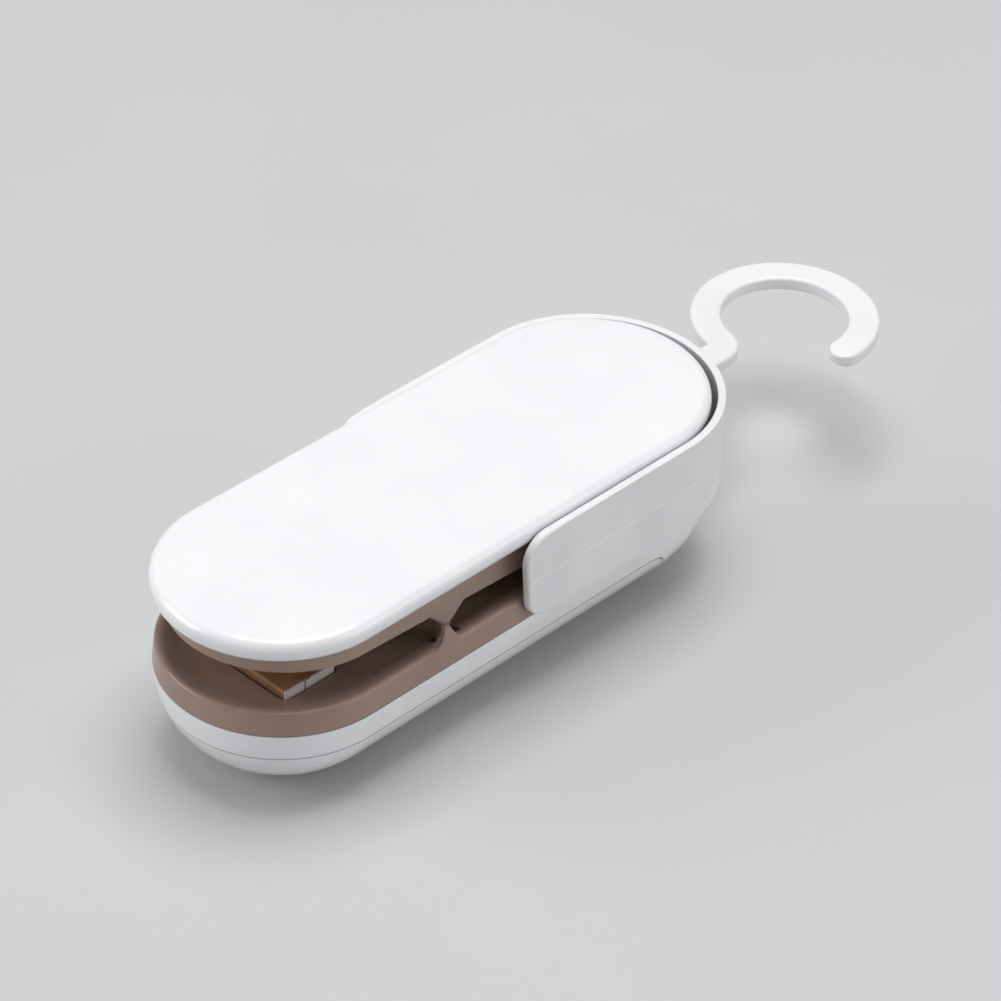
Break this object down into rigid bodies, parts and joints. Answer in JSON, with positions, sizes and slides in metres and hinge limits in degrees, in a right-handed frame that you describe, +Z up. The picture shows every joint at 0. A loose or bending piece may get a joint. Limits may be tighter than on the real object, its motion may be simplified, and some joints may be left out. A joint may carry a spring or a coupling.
{
  "type": "handheld heat sealer",
  "caption": "Pocket heat sealer for plastic bags, with a sprung sealing lever over a floating heater, a sliding lock strap with a hanging hook, and a battery cover.",
  "frame": {"origin": "middle of the flat under the base that it stands on", "axes": "+Z up from the flat, +X along the length towards the hanging hook, +Y across, towards the left of someone who faces the heater end"},
  "size_m": [0.1456, 0.0412, 0.0328],
  "materials": {
    "gloss_white": "gloss",
    "satin_white": "satin",
    "taupe": "satin",
    "ceramic": "matte",
    "amber_tape": "satin",
    "silicone": "matte",
    "cell_sleeve": "gloss",
    "steel": "satin",
    "nickel": "satin",
    "ribbon": "satin"
  },
  "bodies": {
    "base": {"base_shell": "gloss_white", "deck": "taupe", "heater_tray": "taupe", "switch_leaf": "nickel", "bridge_plate": "nickel", "hinge_pin": "steel", "contact_strip_left": "nickel", "contact_strip_right": "nickel", "heater_spring_left": "steel", "heater_spring_right": "steel", "deck_screw_left": "steel", "deck_screw_right": "steel", "tray_screw_left": "steel", "tray_screw_right": "steel", "tray_screw_front": "steel", "cell_left": "cell_sleeve", "cell_right": "cell_sleeve", "cell_spring_front": "steel", "cell_spring_rear": "steel", "return_spring": "steel"},
    "lever": {"lever_frame": "taupe", "lever_cover": "gloss_white", "seal_pad": "silicone", "lever_screw_front": "steel", "lever_screw_rear": "steel"},
    "heater": {"heater_block": "ceramic", "heating_ribbon": "ribbon", "ptfe_tape": "amber_tape", "contact_rivet": "nickel"},
    "battery_cover": {"battery_cover": "gloss_white"},
    "lock_strap": {"lock_strap": "satin_white"}
  },
  "joints": [
    {"name": "lever_hinge", "type": "hinge", "parent": "base", "child": "lever", "pos_m": [0.04, 0, 0.0226], "axis": [0, -1, 0], "range_deg": [0, 3.8], "stiffness_Nm_per_rad": 1, "springref_deg": -5.73, "deforming": ["return_spring"]},
    {"name": "heater_press", "type": "slide", "parent": "base", "child": "heater", "axis": [0, 0, -1], "range_m": [0, 0.0011], "deforming": ["heater_spring_left", "heater_spring_right"]},
    {"name": "lock_slide", "type": "slide", "parent": "base", "child": "lock_strap", "axis": [1, 0, 0], "range_m": [0, 0.008]},
    {"name": "battery_cover_slide", "type": "slide", "parent": "base", "child": "battery_cover", "axis": [-1, 0, 0], "range_m": [0, 0.04]}
  ],
  "couplings": [
    {"joint": "heater_press", "follows": "lever_hinge", "m_per_rad": 0.01658}
  ]
}
